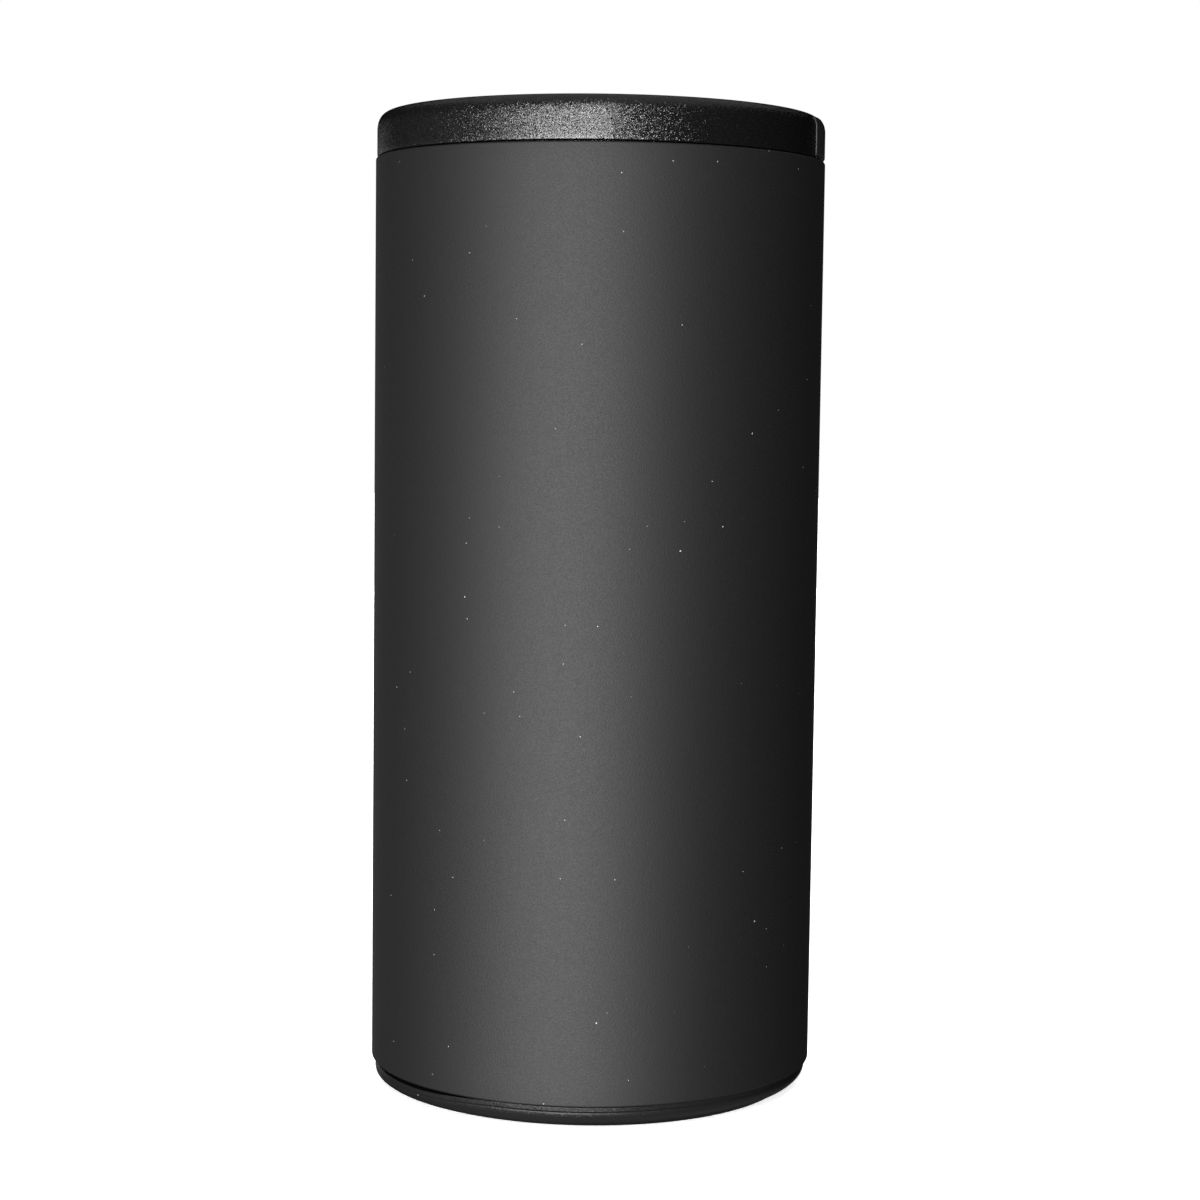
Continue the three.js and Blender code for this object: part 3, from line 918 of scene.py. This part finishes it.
# ---------------------------------------------------------------------------------------------------------
# Knob


def knob(material):
    """Lobed knob with a dished top, a hub on the washer and a neck through it."""
    lip = 8.8 * MM
    lip_top = KNOB_LOW + 0.5 * MM
    shoulder = WELL_FLOOR + 2.2 * MM
    hub = 13.6 * MM
    body_low = KNOB_TOP - 9 * MM
    bore = 6.5 * MM
    roof = KNOB_TOP - 1.6 * MM
    dish = 12.6 * MM
    dish_floor = KNOB_TOP - 0.7 * MM
    corners = [
        (0, roof, 0),
        (bore, roof, 0.3 * MM),
        (bore, KNOB_LOW, 0.2 * MM),
        (lip, KNOB_LOW, 0.15 * MM),
        (lip, lip_top, 0.1 * MM),
        (KNOB_NECK, lip_top, 0.1 * MM),
        (KNOB_NECK, shoulder, 0.2 * MM),
        (hub, shoulder, 0.4 * MM),
        (hub, body_low, 0.5 * MM),
        (KNOB_RADIUS, body_low, 1.6 * MM),
        (KNOB_RADIUS, KNOB_TOP, 2.2 * MM),
        (dish, KNOB_TOP, 1.2 * MM),
        (dish - 1.6 * MM, dish_floor, 1.2 * MM),
        (0, dish_floor, 0),
    ]
    outline = divided(rounded(corners, False, 8), 0.8 * MM)
    lobes = 6
    depth = 3 * MM
    root = 13.8 * MM

    def shape(radius, height, angle):
        sink = depth * (1 - np.cos(lobes * (angle - math.pi / 2))) / 2
        share = np.clip((radius - root) / (KNOB_RADIUS - root), 0, 1)
        above = height > body_low - 0.2 * MM
        return np.where(above, radius - sink * share, radius), height

    piece = turned("knob_skin", outline, around(FINE), False, shape)
    place(piece, "knob", material, "knob_plastic", "knob")


# ---------------------------------------------------------------------------------------------------------
# Studio


AMBIENT = 0.003


def floor_and_world():
    """A pale floor under a pale surround that adds little light."""
    mesh = bpy.data.meshes.new("floor")
    half = 4
    corners = [(-half, -half, 0), (half, -half, 0), (half, half, 0), (-half, half, 0)]
    mesh.from_pydata(corners, [], [(0, 1, 2, 3)])
    ground = bpy.data.objects.new("floor", mesh)
    bpy.context.scene.collection.objects.link(ground)
    paint = Paint("floor_paint", (0.9, 0.9, 0.9), 0.9, Emission_Color=(1, 1, 1, 1), Emission_Strength=0.75)
    paint.colour(paint.mixed(paint.noise(0.3), (0.9, 0.9, 0.9), (0.91, 0.91, 0.91)))
    mesh.materials.append(paint.material)
    # The floor neither shades the barrel nor shows in it, so soft boxes may reach below it.
    ground.visible_glossy = False
    ground.visible_diffuse = False
    ground.visible_shadow = False
    world = bpy.data.worlds.new("surround")
    world.use_nodes = True
    bpy.context.scene.world = world
    tree = world.node_tree
    shown = tree.nodes["Background"]
    shown.inputs["Color"].default_value = (1, 1, 1, 1)
    shown.inputs["Strength"].default_value = 1.0
    dim = tree.nodes.new("ShaderNodeBackground")
    dim.inputs["Color"].default_value = (1, 1, 1, 1)
    dim.inputs["Strength"].default_value = AMBIENT
    seen = tree.nodes.new("ShaderNodeLightPath")
    mix = tree.nodes.new("ShaderNodeMixShader")
    tree.links.new(seen.outputs["Is Camera Ray"], mix.inputs["Fac"])
    tree.links.new(dim.outputs["Background"], mix.inputs[1])
    tree.links.new(shown.outputs["Background"], mix.inputs[2])
    tree.links.new(mix.outputs["Shader"], tree.nodes["World Output"].inputs["Surface"])
    return ground


def area_light(name, azimuth, spread, elevation, height, power):
    """A soft box facing the barrel: azimuth from the front towards +X, spread and elevation in degrees."""
    distance = 1.7
    middle = Vector((0, 0, (cad_low.z + cad_high.z) / 2))
    rise = math.radians(elevation)
    away = Vector(spot(math.cos(rise), math.radians(azimuth), math.sin(rise)))
    data = bpy.data.lights.new(name, "AREA")
    data.shape = "RECTANGLE"
    data.size = distance * math.radians(spread)
    data.size_y = height
    data.energy = power
    made = bpy.data.objects.new(name, data)
    made.location = middle + away * distance
    made.rotation_mode = "QUATERNION"
    made.rotation_quaternion = away.to_track_quat("Z", "Y")
    bpy.context.scene.collection.objects.link(made)


def lights(ground):
    """A soft key from the front left that fades to the left, weak fills, and a light for the floor alone."""
    area_light("key", -5, 21, -6, 0.9, 26)
    area_light("key_high", -2, 18, 24, 0.6, 4)
    area_light("key_fade", -26, 21, -6, 0.9, 21)
    area_light("left_edge", -45, 17, -6, 0.9, 4.5)
    area_light("right_edge", 15, 15, -6, 0.9, 0.2)
    area_light("left_fill", -85, 60, -6, 0.9, 1.2)
    area_light("left_rim", -152, 26, -6, 0.9, 0.6)
    area_light("right_rim", 162, 26, -6, 0.9, 0.15)
    area_light("back", 180, 9, -8, 0.9, 14)
    area_light("top", 0, 120, 90, 3.5, 12)
    area_light("below", 0, 70, -90, 2.0, 2)
    area_light("below_right", 115, 60, -45, 0.9, 0.7)
    sun = bpy.data.lights.new("floor_light", "SUN")
    sun.energy = 6
    sun.angle = math.radians(14)
    made = bpy.data.objects.new("floor_light", sun)
    made.rotation_euler = (math.radians(45), 0, 0)
    bpy.context.scene.collection.objects.link(made)
    only_floor = bpy.data.collections.new("only_floor")
    only_floor.objects.link(ground)
    made.light_linking.receiver_collection = only_floor


def camera():
    """The camera stands in front, a little below the lid, and looks slightly down."""
    distance = 608.7 * MM
    eye = 156.4 * MM
    pitch = math.radians(90 - 5.213)
    roll = math.radians(0.707)
    data = bpy.data.cameras.new("camera")
    data.sensor_width = 36
    data.lens = 79.15
    data.shift_x = 0.0045
    data.shift_y = 0.0387
    data.clip_start = 0.01
    made = bpy.data.objects.new("camera", data)
    made.matrix_world = (
        Matrix.Translation((0, -distance, eye))
        @ Matrix.Rotation(pitch, 4, "X")
        @ Matrix.Rotation(roll, 4, "Z")
    )
    bpy.context.scene.collection.objects.link(made)
    bpy.context.scene.camera = made


def build():
    """The studio, every piece, and materials for the four nodes that keep their CAD meshes."""
    bpy.context.scene.view_settings.view_transform = "Standard"
    camera()
    lights(floor_and_world())
    rubber = liner_rubber()
    steel = zinc_steel()
    drive_sleeve(sleeve_rubber())
    base_cap(base_plastic())
    liner(rubber)
    lid(lid_plastic())
    pad = pad_plastic()
    for node in PAD_MIDDLES:
        grip_pad(node, pad)
    seal_plug(rubber)
    washer("clamp_plate", BOLT_HOLE, steel, "zinc_steel", "closure", 0.4 * MM)
    washer("head_washer", BOLT_HOLE, rubber, "liner_rubber", "closure", 0.4 * MM)
    washer("knob_washer", NECK_HOLE, steel, "zinc_steel", "washer", 0.25 * MM)
    clamp_bolt(steel)
    knob(knob_plastic())
    for node, material in (
        ("shell_tube", tube_plastic()),
        ("lock_nut", steel),
        ("bolt_seal", rubber),
        ("knob_insert", brass()),
    ):
        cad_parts[node].data.materials.clear()
        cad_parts[node].data.materials.append(material)


build()
